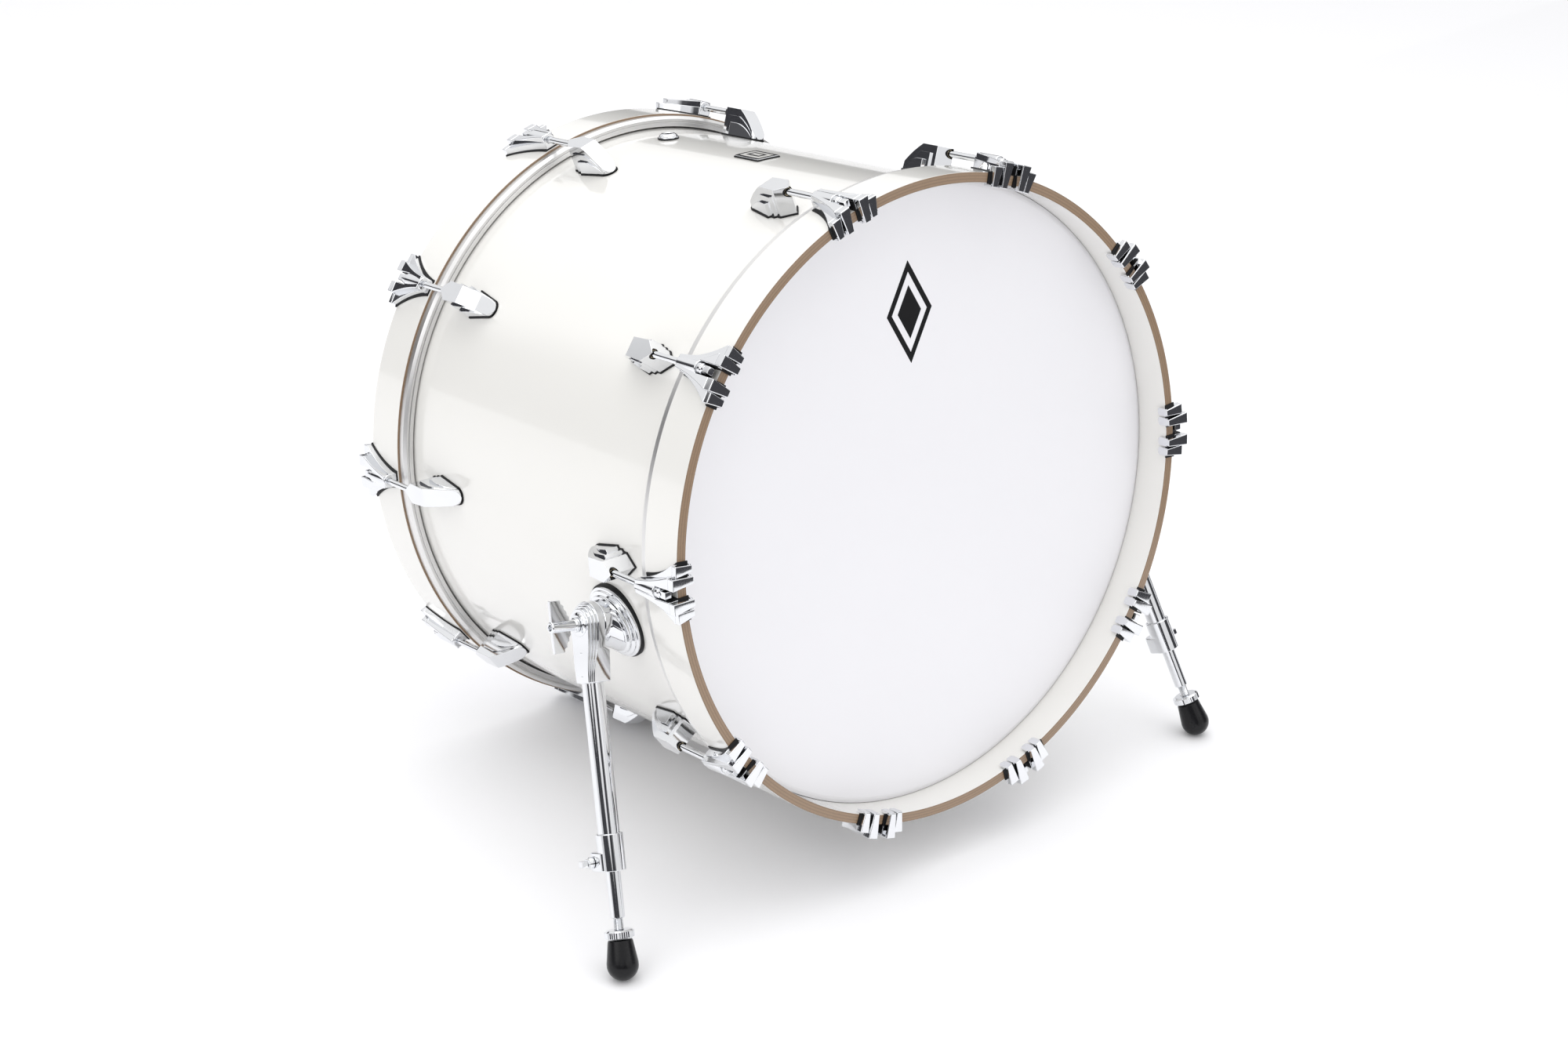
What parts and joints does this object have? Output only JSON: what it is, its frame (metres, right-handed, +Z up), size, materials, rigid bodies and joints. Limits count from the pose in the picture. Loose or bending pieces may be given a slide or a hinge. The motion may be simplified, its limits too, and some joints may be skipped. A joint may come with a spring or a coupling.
{
  "type": "bass drum",
  "caption": "Bass drum with a white ply shell, two hoops held by claws and tension rods, a smooth head at each end and two folding spur legs.",
  "frame": {"origin": "on the floor, under the middle of the drum's bounding box", "axes": "+X to the right seen from the front head, +Y from the front head towards the batter head, +Z up; the drum leans back 6.4 degrees about X, as it stands on its spurs"},
  "size_m": [0.737, 0.5524, 0.6379],
  "materials": {
    "white_lacquer_on_ply": "gloss white lacquer outside, tan ply on the cut edges and inside",
    "brushed_aluminium": "brushed",
    "front_head_film": "smooth white film",
    "batter_head_film": "smooth white film",
    "black_rubber": "matt",
    "brass": "turned",
    "badge_metal": "polished, plain",
    "zinc_plated_steel": "zinc plated",
    "chrome": "polished"
  },
  "bodies": {
    "drum": {"shell": "white_lacquer_on_ply", "front_hoop": "white_lacquer_on_ply", "front_flesh_hoop": "brushed_aluminium", "front_head": "front_head_film", "front_lugs": "chrome", "front_lug_gaskets": "black_rubber", "front_swivel_nuts": "brass", "front_lug_screws": "zinc_plated_steel", "front_lug_washers": "zinc_plated_steel", "front_claws": "chrome", "front_claw_gaskets": "black_rubber", "front_tension_rods": "chrome", "front_rod_washers": "zinc_plated_steel", "rear_hoop": "white_lacquer_on_ply", "rear_flesh_hoop": "brushed_aluminium", "batter_head": "batter_head_film", "rear_lugs": "chrome", "rear_lug_gaskets": "black_rubber", "rear_swivel_nuts": "brass", "rear_lug_screws": "zinc_plated_steel", "rear_lug_washers": "zinc_plated_steel", "rear_claws": "chrome", "rear_claw_gaskets": "black_rubber", "rear_tension_rods": "chrome", "rear_rod_washers": "zinc_plated_steel", "air_vent": "chrome", "air_vent_gasket": "black_rubber", "air_vent_nut": "zinc_plated_steel", "badge": "badge_metal", "badge_gasket": "black_rubber", "left_spur_gasket": "black_rubber", "left_spur_base": "chrome", "left_spur_screws": "zinc_plated_steel", "left_spur_backing_plate": "zinc_plated_steel", "right_spur_gasket": "black_rubber", "right_spur_base": "chrome", "right_spur_screws": "zinc_plated_steel", "right_spur_backing_plate": "zinc_plated_steel"},
    "left_spur_leg": {"left_spur_head": "chrome", "left_spur_tube": "chrome", "left_spur_clamp": "chrome"},
    "left_wing_bolt_turning": {"left_wing_bolt": "chrome"},
    "left_clamp_screw_turning": {"left_clamp_screw": "chrome"},
    "left_leg_rod_sliding": {"left_leg_rod": "chrome"},
    "left_lock_nut_sliding": {"left_lock_nut": "chrome"},
    "left_foot_sliding": {"left_foot": "black_rubber"},
    "right_spur_leg": {"right_spur_head": "chrome", "right_spur_tube": "chrome", "right_spur_clamp": "chrome"},
    "right_wing_bolt_turning": {"right_wing_bolt": "chrome"},
    "right_clamp_screw_turning": {"right_clamp_screw": "chrome"},
    "right_leg_rod_sliding": {"right_leg_rod": "chrome"},
    "right_lock_nut_sliding": {"right_lock_nut": "chrome"},
    "right_foot_sliding": {"right_foot": "black_rubber"}
  },
  "joints": [
    {"name": "left_spur_swivel", "type": "hinge", "parent": "drum", "child": "left_spur_leg", "pos_m": [-0.30514, -0.1244, 0.27554], "axis": [0.9839, -0.02, -0.1777], "range_deg": [-20, 107]},
    {"name": "left_wing_bolt_turn", "type": "hinge", "parent": "drum", "child": "left_wing_bolt_turning", "pos_m": [-0.30514, -0.1244, 0.27554], "axis": [-0.9839, 0.02, 0.1777], "continuous": true},
    {"name": "left_clamp_screw_turn", "type": "hinge", "parent": "left_spur_leg", "child": "left_clamp_screw_turning", "pos_m": [-0.34025, -0.19618, 0.08918], "axis": [-0.9839, 0.02, 0.1777], "continuous": true},
    {"name": "left_leg_extension", "type": "slide", "parent": "left_spur_leg", "child": "left_leg_rod_sliding", "axis": [-0.1706, -0.402, -0.8996], "range_m": [-0.036, 0.075]},
    {"name": "left_foot_travel", "type": "slide", "parent": "left_leg_rod_sliding", "child": "left_foot_sliding", "axis": [-0.1706, -0.402, -0.8996], "range_m": [-0.007, 0.006]},
    {"name": "left_lock_nut_travel", "type": "slide", "parent": "left_leg_rod_sliding", "child": "left_lock_nut_sliding", "axis": [-0.1706, -0.402, -0.8996], "range_m": [-0.007, 0.006]},
    {"name": "right_spur_swivel", "type": "hinge", "parent": "drum", "child": "right_spur_leg", "pos_m": [0.30514, -0.1244, 0.27554], "axis": [0.9839, 0.02, 0.1777], "range_deg": [-20, 107]},
    {"name": "right_wing_bolt_turn", "type": "hinge", "parent": "drum", "child": "right_wing_bolt_turning", "pos_m": [0.30514, -0.1244, 0.27554], "axis": [0.9839, 0.02, 0.1777], "continuous": true},
    {"name": "right_clamp_screw_turn", "type": "hinge", "parent": "right_spur_leg", "child": "right_clamp_screw_turning", "pos_m": [0.34025, -0.19618, 0.08918], "axis": [0.9839, 0.02, 0.1777], "continuous": true},
    {"name": "right_leg_extension", "type": "slide", "parent": "right_spur_leg", "child": "right_leg_rod_sliding", "axis": [0.1706, -0.402, -0.8996], "range_m": [-0.036, 0.075]},
    {"name": "right_foot_travel", "type": "slide", "parent": "right_leg_rod_sliding", "child": "right_foot_sliding", "axis": [0.1706, -0.402, -0.8996], "range_m": [-0.007, 0.006]},
    {"name": "right_lock_nut_travel", "type": "slide", "parent": "right_leg_rod_sliding", "child": "right_lock_nut_sliding", "axis": [0.1706, -0.402, -0.8996], "range_m": [-0.007, 0.006]}
  ],
  "couplings": [
    {"joint": "left_lock_nut_travel", "follows": "left_foot_travel", "ratio": 1},
    {"joint": "right_lock_nut_travel", "follows": "right_foot_travel", "ratio": 1}
  ]
}
